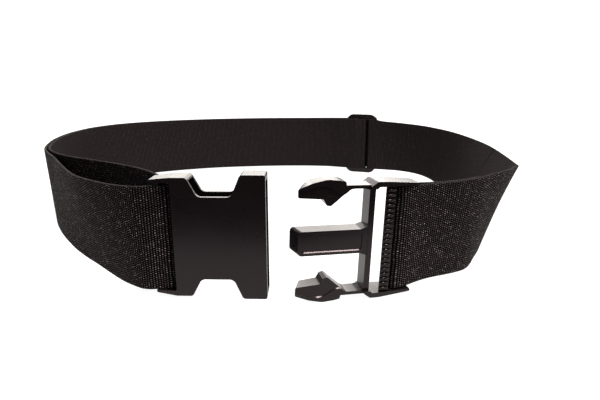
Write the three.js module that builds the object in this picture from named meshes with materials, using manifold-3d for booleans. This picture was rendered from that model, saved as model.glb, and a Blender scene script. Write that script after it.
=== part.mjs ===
// Web belt standing on the edge of its strap: one long two-inch webbing with a side-release buckle
// and a sliding adjuster. Millimetres, +Z up, the floor at z = 0, +Y away from the buckle.

import * as THREE from 'three';
import { mergeVertices } from 'three/addons/utils/BufferGeometryUtils.js';
import Module from 'manifold-3d';

// Webbing
const WEB_WIDTH = 50.8;
const WEB_THICKNESS = 1.6;
const WEB_ROWS_ACROSS = 2;
const LAYER_PITCH = 2.1;

// Gap kept between pieces that touch on the real belt
const CLEARANCE = 0.3;

// Both buckle halves: each is drawn in its own frame, x towards the strap or the mouth,
// y into the depth of the plastic from its front face, z along the width of the webbing
const BUCKLE_DEPTH = 12;
const BUCKLE_MIDDLE = BUCKLE_DEPTH / 2;
const EDGE_ROUNDING = 0.5;
const STRAP_BAR_RADIUS = 2.2;
const WRAP_RADIUS = STRAP_BAR_RADIUS + CLEARANCE + WEB_THICKNESS / 2;
const ARM_END_DEPTH = 8.4;

// Female half, mouth at x = 0, strap bar at its left
const FEMALE = {
  halfHeight: 30,
  shoulderHalf: 28.7,
  armEndHalf: 27.5,
  slotHalf: 26.2,
  webDrop: 0.5,
  bodyLeft: -42.9,
  armLeft: -52.9,
  barX: -47.9,
  socketLeft: -37,
  socketHalf: 27.2,
  wall: 1.6,
  windowOuterRight: -11.4,
  windowInnerRight: -15.6,
  windowInnerLeft: -30.8,
  windowOuterLeft: -35.4,
  windowHalf: 19.9,
};
const FEMALE_POSE = { x: 8.7, y: -149.0, z: FEMALE.halfHeight, yaw: -1.5, roll: 0 };

// Male half, frame's left face at x = 0, prongs and guide to the left, strap to the right
const MALE = {
  halfHeight: 28.2,
  armEndHalf: 27,
  slotHalf: 25.8,
  webDrop: 0,
  shoulderRight: 8,
  armRight: 24.8,
  wallLeft: 0.6,
  wallRight: 3.5,
  ribLeft: 8.2,
  ribRight: 11.9,
  ribFront: 0.6,
  ribBack: 4.8,
  barX: 18.5,
  tongueFront: 1.9,
  tongueBack: 10.1,
  guideLeft: -34,
  guideHalf: 5.8,
};
const MALE_POSE = { x: 54.5, y: -148.6, z: 28.75, yaw: 13.8, roll: 1.9 };

// Outline of one spring prong, from its root round the outside to the tip and back
const PRONG = [
  { at: 'root, outside', x: 1.5, z: 26.5, round: 0 },
  { at: 'spring arm, outside', x: -10.5, z: 26.5, round: 0 },
  { at: 'step of the press pad', x: -10.9, z: 28.2, round: 0 },
  { at: 'press pad', x: -13.9, z: 28.8, round: 4 },
  { at: 'crown of the pad', x: -19.8, z: 29.3, round: 4 },
  { at: 'fall to the tip', x: -25.8, z: 27.9, round: 6 },
  { at: 'tip, outside', x: -31.7, z: 25.4, round: 0.8 },
  { at: 'tip, inside', x: -31.7, z: 21.3, round: 0.8 },
  { at: 'nose, inside', x: -20.4, z: 20.4, round: 0.6 },
  { at: 'barb, front', x: -18.9, z: 17.8, round: 0 },
  { at: 'barb, back', x: -16.9, z: 17.4, round: 0.8 },
  { at: 'end of the slant', x: -8.1, z: 24.9, round: 3 },
  { at: 'root, inside', x: 1.5, z: 24.8, round: 0 },
];

// Sliding adjuster: an upright frame with a middle bar; s runs along the belt, away from the male half
const SLIDER = {
  length: 33,
  height: 60,
  thickness: 4,
  corner: 6.5,
  outerBar: 6,
  middleBar: 7,
  slotHalf: 26,
};
const SLIDER_POSE = { x: 87.1, y: 137.1, z: SLIDER.height / 2, heading: 159.8 };

// The belt's own course from the male half round the back to the female half. Each row is one
// upright line across the webbing: its top corner, its low corner and the low corner's height.
// gap is how far inside it the second layer lies.
const COURSE_RIGHT = [
  { at: 'flat behind the male half', topX: 87, topY: -135.3, lowX: 85.2, lowY: -131.3, lift: 2.6 },
  { at: 'middle of the sewn flat', topX: 106.1, topY: -127.9, lowX: 101.8, lowY: -124.5, lift: 2.6 },
  { at: 'stitched end', topX: 116.1, topY: -120.4, lowX: 110.6, lowY: -120.2, lift: 2.63 },
  { at: 'into the right bend', topX: 122.2, topY: -114.4, lowX: 115.1, lowY: -114.2, lift: 2.81 },
  { at: 'right bend', topX: 131.7, topY: -105.2, lowX: 120.5, lowY: -104.6, lift: 3.02 },
  { at: 'out of the right bend', topX: 139.4, topY: -97.2, lowX: 125.4, lowY: -96.4, lift: 2.88 },
  { at: 'right end, front', topX: 145.8, topY: -87, lowX: 131, lowY: -85.7, lift: 2.55 },
  { at: 'right end', topX: 154.7, topY: -73.6, lowX: 136.2, lowY: -70.8, lift: 1.8 },
  { at: 'right side, front', topX: 166, topY: -48.2, lowX: 140.8, lowY: -43.3, lift: 0.86 },
  { at: 'right side, middle', topX: 172.2, topY: -10.3, lowX: 148.5, lowY: -4.7, lift: 0.5 },
  { at: 'right side, back', topX: 173.4, topY: 21.4, lowX: 153.4, lowY: 27.1, lift: 0.43 },
  { at: 'back corner, widest lean', topX: 172, topY: 52.4, lowX: 153.8, lowY: 59.3, lift: 0.37 },
  { at: 'back corner', topX: 165.9, topY: 72.9, lowX: 153.4, lowY: 81.9, lift: 0.36 },
  { at: 'back corner, turning', topX: 155.3, topY: 92.4, lowX: 151.9, lowY: 102.2, lift: 0.65 },
  { at: 'back, right end', topX: 140.2, topY: 108.8, lowX: 143.7, lowY: 117, lift: 2.06 },
  { at: 'back, before the slider', topX: 121.2, topY: 119.2, lowX: 127.3, lowY: 126.4, lift: 3.38 },
  { at: 'slider approach', topX: 103.2, topY: 126.6, lowX: 111, lowY: 129, lift: 3.9 },
];
const COURSE_LEFT = [
  { at: 'past the sewn tail', topX: 53.9, topY: 149.5, lowX: 53.9, lowY: 149.5, lift: 4.5, gap: 4.8 },
  { at: 'back, middle', topX: 27.6, topY: 150.8, lowX: 27.6, lowY: 150.8, lift: 4.2, gap: 2.2 },
  { at: 'back, left of middle', topX: -2.9, topY: 150, lowX: -2.9, lowY: 150, lift: 4.2, gap: 2.2 },
  { at: 'back, left third', topX: -33.1, topY: 146.3, lowX: -33.1, lowY: 146.3, lift: 4.2, gap: 2.2 },
  { at: 'back, left quarter', topX: -63, topY: 140.3, lowX: -63, lowY: 140.7, lift: 4.2, gap: 2.2 },
  { at: 'back, left', topX: -92, topY: 130.8, lowX: -92, lowY: 130.8, lift: 4.2, gap: 2.2 },
  { at: 'left back corner', topX: -119.4, topY: 117.6, lowX: -119.4, lowY: 117.6, lift: 4.2, gap: 2.2 },
  { at: 'left back corner, out', topX: -144, topY: 99.7, lowX: -144, lowY: 99.7, lift: 4.1, gap: 2.2 },
  { at: 'left side, back', topX: -160.3, topY: 74.2, lowX: -160.3, lowY: 74.2, lift: 3.9, gap: 2.2 },
  { at: 'left side, widest', topX: -165.2, topY: 44.2, lowX: -165.2, lowY: 44.2, lift: 3.7, gap: 2.2 },
  { at: 'left side', topX: -163.1, topY: 13.9, lowX: -162.9, lowY: 13.9, lift: 3.5, gap: 2.2 },
  { at: 'left side, front', topX: -155.5, topY: -15.7, lowX: -155.7, lowY: -15.7, lift: 3.4, gap: 2.2 },
  { at: 'left end', topX: -144.1, topY: -44.2, lowX: -142.7, lowY: -43, lift: 3.2, gap: 2.3 },
  { at: 'left front', topX: -125.6, topY: -68.3, lowX: -125.6, lowY: -68.3, lift: 3 },
  { at: 'left front, middle', topX: -108.5, topY: -94, lowX: -106.8, lowY: -92, lift: 2.8 },
  { at: 'left front, bulge', topX: -90.2, topY: -118.3, lowX: -85.4, lowY: -113.2, lift: 2.7 },
  { at: 'before the female half', topX: -65.2, topY: -137.2, lowX: -62.6, lowY: -135, lift: 2.5 },
  { at: 'turning to the female half', topX: -49.8, topY: -145.3, lowX: -49.4, lowY: -145.1, lift: 3.3 },
];
// The second layer where it cuts the left front corner, upright rows through its middle
const SHORTCUT = [
  { at: 'behind the female half', x: -53.8, y: -111.3, lift: 3.6 },
  { at: 'leaving the outer layer', x: -72.4, y: -95.6, lift: 3.5 },
  { at: 'across the corner', x: -95, y: -81, lift: 3.4 },
  { at: 'joining the outer layer', x: -120.4, y: -66.6, lift: 3.4 },
];

// Courses through the slider, s along the belt and n towards the inside of the belt
const SLIDER_OUTER_COURSE = [
  { at: 'over the first bar', s: -17.2, n: 3.1, round: 6 },
  { at: 'down the first slot', s: -9.0, n: 3.1, round: 1.5 },
  { at: 'behind the slider', s: -6.9, n: -5.3, round: 1.6 },
  { at: 'leaving the slider', s: 17.5, n: -5.3, round: 30 },
];
const SLIDER_INNER_COURSE = [
  { at: 'over the last bar', s: 17.5, n: 5.2, round: 30 },
  { at: 'over the last slot', s: 3.7, n: 5.2, round: 4 },
  { at: 'on the middle bar', s: -0.6, n: 3.3, round: 4 },
  { at: 'into the first slot', s: -4.7, n: 3.3, round: 1.3 },
  { at: 'behind the middle bar', s: -4.7, n: -3.2, round: 1.3 },
  { at: 'up the last slot', s: 5.0, n: -3.2, round: 1.3 },
  { at: 'under the inner layer', s: 5.0, n: 3.2, round: 1.3 },
  { at: 'tail over the last bar', s: 17.5, n: 3.2, round: 20 },
  { at: 'end of the sewn tail', s: 33, n: 0.9, round: 0 },
];

const BLACK_WEBBING = { color: 0x17130f, roughness: 0.75, metalness: 0 };
const BLACK_PLASTIC = { color: 0x15120f, roughness: 0.35, metalness: 0 };

const DEGREE = Math.PI / 180;
const FREE_ROUND = 1e6;

const wasm = await Module();
wasm.setup();

// A polyline with its corners rounded. Each point carries u, its place along the list of corners.
function roundCorners(corners, closed, turnStep, longestStep) {
  const points = [];
  const count = corners.length;
  const add = (x, y, u) => {
    const last = points[points.length - 1];
    if (!last || Math.hypot(last.x - x, last.y - y) > 0.02) points.push({ x, y, u });
  };
  for (let i = 0; i < count; i += 1) {
    const here = corners[i];
    if (!closed && (i === 0 || i === count - 1)) {
      add(here.x, here.y, i);
      continue;
    }
    const before = corners[(i - 1 + count) % count];
    const after = corners[(i + 1) % count];
    const inward = new THREE.Vector2(here.x - before.x, here.y - before.y);
    const outward = new THREE.Vector2(after.x - here.x, after.y - here.y);
    const inLength = inward.length();
    const outLength = outward.length();
    inward.normalize();
    outward.normalize();
    const turn = Math.atan2(inward.cross(outward), inward.dot(outward));
    const half = Math.tan(Math.abs(turn) / 2);
    const wanted = (here.round ?? FREE_ROUND) * half;
    const leg = Math.min(wanted, inLength * 0.5, outLength * 0.5);
    if (leg < 0.05 || Math.abs(turn) < 1e-3) {
      add(here.x, here.y, i);
      continue;
    }
    const radius = leg / half;
    const arc = Math.abs(turn) * radius;
    const steps = Math.max(1, Math.ceil(Math.abs(turn) / turnStep), Math.ceil(arc / longestStep));
    const start = new THREE.Vector2(here.x, here.y).addScaledVector(inward, -leg);
    const reach = Math.sign(turn) * radius;
    const centre = new THREE.Vector2(start.x - inward.y * reach, start.y + inward.x * reach);
    for (let k = 0; k <= steps; k += 1) {
      const arm = start.clone().sub(centre).rotateAround(new THREE.Vector2(0, 0), turn * k / steps);
      const u = i - leg / inLength + (leg / inLength + leg / outLength) * k / steps;
      add(centre.x + arm.x, centre.y + arm.y, u);
    }
  }
  return points;
}

// Straight stretches longer than the step get lines in between
function subdivide(points, longestStep) {
  const fine = [points[0]];
  for (let i = 1; i < points.length; i += 1) {
    const a = points[i - 1];
    const b = points[i];
    const pieces = Math.max(1, Math.ceil(Math.hypot(b.x - a.x, b.y - a.y) / longestStep));
    for (let k = 1; k <= pieces; k += 1) {
      const t = k / pieces;
      fine.push({ x: a.x + (b.x - a.x) * t, y: a.y + (b.y - a.y) * t, u: a.u + (b.u - a.u) * t });
    }
  }
  return fine;
}

function outline(corners) {
  const flat = corners.map((c) => ({ x: c.x, y: c.z, round: c.round ?? 0 }));
  const points = roundCorners(flat, true, 30 * DEGREE, 50);
  const first = points[0];
  const last = points[points.length - 1];
  if (Math.hypot(first.x - last.x, first.y - last.y) < 0.05) points.pop();
  return points.map((p) => new THREE.Vector2(p.x, p.y));
}

// Corners that faces share become one vertex each, before the piece is moved to its place
function welded(geometry) {
  geometry.deleteAttribute('normal');
  geometry.deleteAttribute('uv');
  return mergeVertices(geometry, 1e-4);
}

// A plate with the outline in x and z, from depth y0 to y1, with softened edges
function plate(corners, y0, y1, rounding, bevelSegments = 2) {
  const bevel = Math.min(rounding, (y1 - y0) * 0.45);
  const geometry = welded(new THREE.ExtrudeGeometry(new THREE.Shape(outline(corners)), {
    depth: y1 - y0 - 2 * bevel,
    bevelEnabled: bevel > 0,
    bevelThickness: bevel,
    bevelSize: bevel,
    bevelOffset: -bevel,
    bevelSegments,
    steps: 1,
  }));
  geometry.rotateX(Math.PI / 2);
  geometry.translate(0, y1 - bevel, 0);
  return geometry;
}

function box(x0, x1, y0, y1, z0, z1) {
  const geometry = welded(new THREE.BoxGeometry(x1 - x0, y1 - y0, z1 - z0));
  geometry.translate((x0 + x1) / 2, (y0 + y1) / 2, (z0 + z1) / 2);
  return geometry;
}

// A round bar along z
function bar(x, y, radius, halfLength) {
  const geometry = welded(new THREE.CylinderGeometry(radius, radius, halfLength * 2, 16));
  geometry.rotateX(Math.PI / 2);
  geometry.translate(x, y, 0);
  return geometry;
}

function solid(geometry) {
  return new wasm.Manifold(new wasm.Mesh({
    numProp: 3,
    vertProperties: new Float32Array(geometry.attributes.position.array),
    triVerts: new Uint32Array(geometry.index.array),
  }));
}

function join(geometries) {
  return geometries.map(solid).reduce((sum, next) => sum.add(next));
}

function geometryOf(manifold) {
  const mesh = manifold.getMesh();
  const geometry = new THREE.BufferGeometry();
  geometry.setAttribute('position', new THREE.BufferAttribute(new Float32Array(mesh.vertProperties), 3));
  geometry.setIndex(new THREE.BufferAttribute(new Uint32Array(mesh.triVerts), 1));
  geometry.computeVertexNormals();
  return geometry;
}

function mirrored(corners) {
  return corners.map((c) => ({ ...c, z: -c.z })).reverse();
}

function namedMesh(name, geometry, finish, pose) {
  const mesh = new THREE.Mesh(geometry, new THREE.MeshStandardMaterial(finish));
  mesh.name = name;
  if (pose) {
    mesh.position.set(pose.x, pose.y, pose.z);
    mesh.rotation.set(0, (pose.roll ?? 0) * DEGREE, (pose.yaw ?? pose.heading) * DEGREE, 'ZYX');
  }
  return mesh;
}

// The side rails of either half narrow in depth towards the strap, round the bar's ends
function railTrims(xShoulder, xEnd) {
  const beyond = xEnd + Math.sign(xEnd - xShoulder) * 3;
  const cut = (BUCKLE_DEPTH - ARM_END_DEPTH) / 2;
  const wedge = (y0, y1) => {
    const shape = new THREE.Shape([
      new THREE.Vector2(xShoulder, y0),
      new THREE.Vector2(beyond, y0),
      new THREE.Vector2(beyond, y1),
    ]);
    const geometry = welded(new THREE.ExtrudeGeometry(shape, { depth: 80, bevelEnabled: false }));
    geometry.translate(0, 0, -40);
    return geometry;
  };
  return [wedge(0, cut), wedge(BUCKLE_DEPTH, BUCKLE_DEPTH - cut)];
}

function femaleGeometry() {
  const f = FEMALE;
  const upper = [
    { x: 0, z: f.halfHeight, round: 1.2 },
    { x: f.windowOuterRight, z: f.halfHeight, round: 1.6 },
    { x: f.windowInnerRight, z: f.windowHalf, round: 2.2 },
    { x: f.windowInnerLeft, z: f.windowHalf, round: 2.2 },
    { x: f.windowOuterLeft, z: f.shoulderHalf, round: 1.6 },
    { x: f.bodyLeft, z: f.shoulderHalf, round: 6 },
    { x: f.armLeft, z: f.armEndHalf, round: 0 },
    { x: f.armLeft, z: f.slotHalf, round: 0 },
    { x: f.bodyLeft, z: f.slotHalf, round: 0.6 },
  ];
  const shell = plate([...upper, ...mirrored(upper)], 0, BUCKLE_DEPTH, EDGE_ROUNDING);
  const socket = box(f.socketLeft, 5, f.wall, BUCKLE_DEPTH - f.wall, -f.socketHalf, f.socketHalf);
  const strapBar = bar(f.barX, BUCKLE_MIDDLE, STRAP_BAR_RADIUS, f.slotHalf + 0.8);
  let body = solid(shell);
  for (const trim of railTrims(f.bodyLeft, f.armLeft)) body = body.subtract(solid(trim));
  return geometryOf(body.subtract(solid(socket)).add(solid(strapBar)));
}

// One upright bar of the male frame, between the rails
function upright(x0, x1, y0, y1, rounding) {
  const half = MALE.slotHalf + 0.6;
  const corners = [{ x: x0, z: -half }, { x: x1, z: -half }, { x: x1, z: half }, { x: x0, z: half }];
  return plate(corners, y0, y1, rounding, 1);
}

function maleGeometry() {
  const m = MALE;
  const rail = [
    { x: m.wallLeft, z: m.slotHalf - 1, round: 0 },
    { x: m.wallRight, z: m.slotHalf - 1, round: 0 },
    { x: m.wallRight + 1, z: m.slotHalf, round: 0 },
    { x: m.armRight, z: m.slotHalf, round: 0 },
    { x: m.armRight, z: m.armEndHalf, round: 0 },
    { x: m.shoulderRight, z: m.halfHeight, round: 8 },
    { x: m.wallLeft + 3, z: m.halfHeight, round: 1.6 },
    { x: m.wallLeft, z: m.halfHeight - 2.2, round: 0 },
  ];
  let body = join([
    plate(rail, 0, BUCKLE_DEPTH, EDGE_ROUNDING),
    plate(mirrored(rail), 0, BUCKLE_DEPTH, EDGE_ROUNDING),
  ]);
  for (const trim of railTrims(m.shoulderRight, m.armRight)) body = body.subtract(solid(trim));
  const guide = [
    { x: 1.5, z: m.guideHalf + 0.6, round: 0 },
    { x: -3, z: m.guideHalf, round: 3 },
    { x: m.guideLeft, z: m.guideHalf, round: 2.2 },
    { x: m.guideLeft, z: -m.guideHalf, round: 2.2 },
    { x: -3, z: -m.guideHalf, round: 3 },
    { x: 1.5, z: -m.guideHalf - 0.6, round: 0 },
  ];
  return geometryOf(body.add(join([
    upright(m.wallLeft, m.wallRight, m.tongueFront, m.tongueBack, 0.4),
    upright(m.ribLeft, m.ribRight, m.ribFront, m.ribBack, 0.6),
    bar(m.barX, BUCKLE_MIDDLE, STRAP_BAR_RADIUS, m.slotHalf + 0.6),
    plate(guide, m.tongueFront, m.tongueBack, 0.7),
    plate(PRONG, m.tongueFront, m.tongueBack, 0.5, 1),
    plate(mirrored(PRONG), m.tongueFront, m.tongueBack, 0.5, 1),
  ])));
}

function sliderGeometry() {
  const s = SLIDER;
  const half = s.length / 2;
  const frame = [
    { x: -half, z: -s.height / 2, round: s.corner },
    { x: half, z: -s.height / 2, round: s.corner },
    { x: half, z: s.height / 2, round: s.corner },
    { x: -half, z: s.height / 2, round: s.corner },
  ];
  const slotInner = s.middleBar / 2;
  const slotOuter = half - s.outerBar;
  let body = solid(plate(frame, -s.thickness / 2, s.thickness / 2, 1.1));
  for (const side of [-1, 1]) {
    const x0 = Math.min(side * slotInner, side * slotOuter);
    const x1 = Math.max(side * slotInner, side * slotOuter);
    body = body.subtract(solid(box(x0, x1, -10, 10, -s.slotHalf, s.slotHalf)));
  }
  return geometryOf(body);
}

// Rows of the webbing. A row is its middle, half of its lean from low edge to top edge, and its lift.
function courseRow(r) {
  return {
    x: (r.topX + r.lowX) / 2,
    y: (r.topY + r.lowY) / 2,
    leanX: (r.topX - r.lowX) / 2,
    leanY: (r.topY - r.lowY) / 2,
    lift: r.lift,
    gap: r.gap,
    round: FREE_ROUND,
  };
}

function uprightRow(x, y, lift, round) {
  return { x, y, leanX: 0, leanY: 0, lift, round };
}

// A row in a buckle half's own frame, as high and as far over as its strap bar
function buckleRow(pose, drop, x, y, round) {
  const turn = pose.yaw * DEGREE;
  const roll = pose.roll * DEGREE;
  const reach = x * Math.cos(roll);
  const lean = WEB_WIDTH / 2 * Math.sin(roll);
  return {
    x: pose.x + reach * Math.cos(turn) - y * Math.sin(turn),
    y: pose.y + reach * Math.sin(turn) + y * Math.cos(turn),
    leanX: lean * Math.cos(turn),
    leanY: lean * Math.sin(turn),
    lift: pose.z - drop - x * Math.sin(roll) - WEB_WIDTH / 2 * Math.cos(roll),
    round,
  };
}

function sliderRow(r) {
  const turn = SLIDER_POSE.heading * DEGREE;
  const px = SLIDER_POSE.x + r.s * Math.cos(turn) - r.n * Math.sin(turn);
  const py = SLIDER_POSE.y + r.s * Math.sin(turn) + r.n * Math.cos(turn);
  return uprightRow(px, py, SLIDER_POSE.z - WEB_WIDTH / 2, r.round);
}

// The same rows moved sideways to the inside of the belt, each by its own gap or the given one
function movedInside(rows, distance) {
  return rows.map((row, i) => {
    const a = rows[Math.max(0, i - 1)];
    const b = rows[Math.min(rows.length - 1, i + 1)];
    const along = new THREE.Vector2(b.x - a.x, b.y - a.y).normalize();
    const gap = distance ?? row.gap;
    return { ...row, x: row.x - along.y * gap, y: row.y + along.x * gap };
  });
}

function webbingRows() {
  const right = COURSE_RIGHT.map(courseRow);
  const left = COURSE_LEFT.map(courseRow);
  const sewn = movedInside(right.slice(0, 4), LAYER_PITCH).slice(0, 3).reverse();
  const second = movedInside(left.filter((row) => row.gap)).reverse();
  const maleBack = MALE.barX - WRAP_RADIUS;
  const femaleFront = FEMALE.barX + WRAP_RADIUS;
  return [
    ...sewn,
    buckleRow(MALE_POSE, MALE.webDrop, MALE.barX + 1.5, BUCKLE_MIDDLE + WRAP_RADIUS, 12),
    buckleRow(MALE_POSE, MALE.webDrop, maleBack, BUCKLE_MIDDLE + WRAP_RADIUS, WRAP_RADIUS),
    buckleRow(MALE_POSE, MALE.webDrop, maleBack, BUCKLE_MIDDLE - WRAP_RADIUS, WRAP_RADIUS),
    buckleRow(MALE_POSE, MALE.webDrop, MALE.barX + 1.5, BUCKLE_MIDDLE - WRAP_RADIUS, 12),
    ...right,
    ...SLIDER_OUTER_COURSE.map(sliderRow),
    ...left,
    buckleRow(FEMALE_POSE, FEMALE.webDrop, FEMALE.barX - 2, BUCKLE_MIDDLE - WRAP_RADIUS, 20),
    buckleRow(FEMALE_POSE, FEMALE.webDrop, femaleFront, BUCKLE_MIDDLE - WRAP_RADIUS, WRAP_RADIUS),
    buckleRow(FEMALE_POSE, FEMALE.webDrop, femaleFront, BUCKLE_MIDDLE + WRAP_RADIUS, 10),
    ...SHORTCUT.map((r) => uprightRow(r.x, r.y, r.lift, FREE_ROUND)),
    ...second,
    ...SLIDER_INNER_COURSE.map(sliderRow),
  ];
}

// A flat strip of webbing is bent along its course, line by line
function webbingGeometry() {
  const rows = webbingRows();
  const course = subdivide(roundCorners(rows, false, 22 * DEGREE, 9), 11);
  const lines = course.map((p, i) => {
    const a = course[Math.max(0, i - 1)];
    const b = course[Math.min(course.length - 1, i + 1)];
    const low = rows[Math.floor(p.u)];
    const high = rows[Math.min(rows.length - 1, Math.ceil(p.u))];
    const t = p.u - Math.floor(p.u);
    const mix = (key) => THREE.MathUtils.lerp(low[key], high[key], t);
    const leanX = mix('leanX');
    const leanY = mix('leanY');
    const rise = Math.sqrt(WEB_WIDTH * WEB_WIDTH / 4 - leanX * leanX - leanY * leanY);
    const across = new THREE.Vector3(leanX, leanY, rise).normalize();
    const along = new THREE.Vector3(b.x - a.x, b.y - a.y, 0).normalize();
    const outward = new THREE.Vector3().crossVectors(along, across).normalize();
    return { middle: new THREE.Vector3(p.x, p.y, mix('lift') + rise), across, outward };
  });
  const count = lines.length - 1;
  const strip = new THREE.BoxGeometry(count, WEB_THICKNESS, WEB_WIDTH, count, 1, WEB_ROWS_ACROSS);
  const geometry = welded(strip);
  const position = geometry.attributes.position;
  const spot = new THREE.Vector3();
  for (let i = 0; i < position.count; i += 1) {
    const line = lines[Math.round(position.getX(i) + count / 2)];
    spot.copy(line.middle);
    spot.addScaledVector(line.across, position.getZ(i));
    spot.addScaledVector(line.outward, -position.getY(i));
    position.setXYZ(i, spot.x, spot.y, spot.z);
  }
  geometry.computeVertexNormals();
  return geometry;
}

const belt = new THREE.Group();
belt.add(
  namedMesh('webbing', webbingGeometry(), BLACK_WEBBING),
  namedMesh('female_buckle', femaleGeometry(), BLACK_PLASTIC, FEMALE_POSE),
  namedMesh('male_buckle', maleGeometry(), BLACK_PLASTIC, MALE_POSE),
  namedMesh('tri_glide', sliderGeometry(), BLACK_PLASTIC, SLIDER_POSE),
);

// The floor and the middle of the belt's footprint are the origin
belt.updateMatrixWorld(true);
const bounds = new THREE.Box3().setFromObject(belt, true);
const middle = bounds.getCenter(new THREE.Vector3());
belt.position.set(-middle.x, -middle.y, -bounds.min.z);
belt.updateMatrixWorld(true);

export default belt;
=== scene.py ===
"""A wide black webbing belt with an open side-release buckle and a sliding adjuster.

The belt stands on the edge of its strap, on a pale floor. Sizes in the tables are millimetres in
the frame of the belt: +Z up, +X from the female half to the male half, +Y away from the buckle.
"""

import math
from collections import namedtuple

import bmesh
import bpy
from bpy.props import FloatProperty, FloatVectorProperty, IntProperty, PointerProperty
from bpy.types import Operator, Panel, PropertyGroup
from mathutils import Matrix, Vector


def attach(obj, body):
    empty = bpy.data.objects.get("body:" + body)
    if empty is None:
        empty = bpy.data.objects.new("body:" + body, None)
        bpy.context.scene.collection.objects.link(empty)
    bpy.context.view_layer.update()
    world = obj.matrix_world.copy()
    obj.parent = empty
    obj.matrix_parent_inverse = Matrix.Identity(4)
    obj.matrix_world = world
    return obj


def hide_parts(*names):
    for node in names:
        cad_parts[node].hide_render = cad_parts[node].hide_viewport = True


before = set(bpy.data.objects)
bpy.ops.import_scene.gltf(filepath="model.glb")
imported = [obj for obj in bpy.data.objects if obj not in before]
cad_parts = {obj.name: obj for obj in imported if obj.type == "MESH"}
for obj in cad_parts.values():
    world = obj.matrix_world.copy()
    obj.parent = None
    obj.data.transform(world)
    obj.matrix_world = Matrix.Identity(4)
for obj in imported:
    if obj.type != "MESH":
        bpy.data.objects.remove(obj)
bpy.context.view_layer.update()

bl_info = {
    "name": "Webbing belt",
    "version": (1, 0, 0),
    "blender": (4, 5, 0),
    "location": "View3D > Sidebar > Belt",
    "description": "Builds a webbing belt with a side-release buckle and a sliding adjuster",
    "category": "Object",
}

MM = 0.001

# Middle of the belt's footprint, taken off every place below
FOOTPRINT_MIDDLE = Vector((4.23167, -1.67356, 0.0))

# Both buckle halves: their depth, and how deep their arms still are at the end
BUCKLE_DEPTH = 12.0
BUCKLE_MIDDLE = BUCKLE_DEPTH / 2
ARM_END_DEPTH = 8.4

# Where the strap goes round a bar, and how far apart its two layers lie where they are sewn
STRAP_BAR_RADIUS = 2.2
WRAP_RADIUS = 3.3
WRAP_FRONT = BUCKLE_MIDDLE - WRAP_RADIUS
WRAP_BACK = BUCKLE_MIDDLE + WRAP_RADIUS
LAYER_PITCH = 2.1

Pose = namedtuple("Pose", "x y z yaw roll")
FEMALE_POSE = Pose(8.7, -149.0, 30.0, -1.5, 0.0)
MALE_POSE = Pose(54.5, -148.6, 28.75, 13.8, 1.9)
SLIDER_POSE = Pose(87.1, 137.1, 30.0, 159.8, 0.0)

# Each half's strap bar, half its length, and how far the strap hangs below its middle
FEMALE_BAR_X = -47.9
FEMALE_BAR_HALF = 27.0
FEMALE_DROP = 0.5
MALE_BAR_X = 18.5
MALE_BAR_HALF = 26.4
MALE_DROP = 0.0

# Where each half's arms begin to lose depth, and where they end
FEMALE_ARM = (-42.9, -52.9)
MALE_ARM = (8.0, 24.8)

# The hollow in the female half, from its low to its high limits: x, then y, then z
SOCKET = (-37, 5, 1.6, 10.4, -27.2, 27.2)

# Its crown: the heights of the cuts that bend it, where its fall is full, and how late it sets in
CROWN_CUTS = (10, 16, 21, 24, 26, 27.6, 28.8)
CROWN_HALF = 29.6
CROWN_POWER = 5

# Front and back of the male half's inner parts, and where a cutter starts, clear of the front
CORE_FRONT = 1.9
CORE_BACK = 10.1
CUTTER_FRONT = -2.0

# Its cross bar, from x to x, and its clamping bar, from x to x and from front to back
CROSS_BAR = (0.6, 3.5)
CLAMPING_BAR = (8.2, 13.2, 1.5, 4.8)

# Slanted ends: left of which x the back of the shape is shifted, and how far
CLAMPING_BAR_SLANT = (10, 1.8)
GUIDE_SLANT = (-30, -2)
PRONG_SLANT = (-27, 3.5)

# Grip ridges: half the length that they cover, their half sizes, and where their middles lie
RIDGED_HALF = 25.8
RIDGE_HALF = (2.5, 1.2, 0.85)
RIDGE_X = 10.9
RIDGE_Y = 1.5

# Corners of the outlines, in each half's own frame: x along the strap, z along its width
Corner = namedtuple("Corner", "x z radius")


def rectangle(left, right, half_height, radius):
    """Corners of a rectangle whose middle lies at z = 0"""
    ends = ((left, -half_height), (right, -half_height), (right, half_height), (left, half_height))
    return tuple(Corner(x, z, radius) for x, z in ends)


FEMALE_UPPER = (
    Corner(0, 30, 1.2),
    Corner(-11.4, 30, 1.8),
    Corner(-15.6, 19.9, 3.0),
    Corner(-30.8, 19.9, 3.0),
    Corner(-35.4, 28.7, 1.8),
    Corner(-42.9, 28.7, 6),
    Corner(-52.9, 27.5, 0.9),
    Corner(-52.9, 26.2, 0.3),
    Corner(-42.9, 26.2, 1.2),
)
MALE_RAIL = (
    Corner(0.6, 24.8, 0),
    Corner(3.5, 24.8, 0),
    Corner(4.5, 25.8, 0.8),
    Corner(24.8, 25.8, 0.3),
    Corner(24.8, 27, 0.6),
    Corner(8, 28.2, 8),
    Corner(3.6, 28.2, 1.6),
    Corner(0.6, 26.0, 0),
)
MALE_GUIDE = (
    Corner(1.5, 7.2, 0),
    Corner(-2.4, 5.8, 2.4),
    Corner(-32, 5.8, 2.0),
    Corner(-32, -5.8, 2.0),
    Corner(-2.4, -5.8, 2.4),
    Corner(1.5, -7.2, 0),
)
PRONG = (
    Corner(1.5, 26.5, 0),
    Corner(-10.5, 26.5, 0),
    Corner(-10.9, 28.2, 0.4),
    Corner(-13.9, 28.8, 4),
    Corner(-19.4, 29.3, 5),
    Corner(-25.8, 27.9, 7),
    Corner(-32.7, 25.2, 1.2),
    Corner(-32.7, 21.2, 1.0),
    Corner(-20.8, 20.3, 0.6),
    Corner(-19.3, 17.5, 0.6),
    Corner(-17.3, 17.0, 0.8),
    Corner(-8.1, 24.9, 3),
    Corner(-2.0, 24.9, 3),
    Corner(1.5, 24.0, 0),
)

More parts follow.
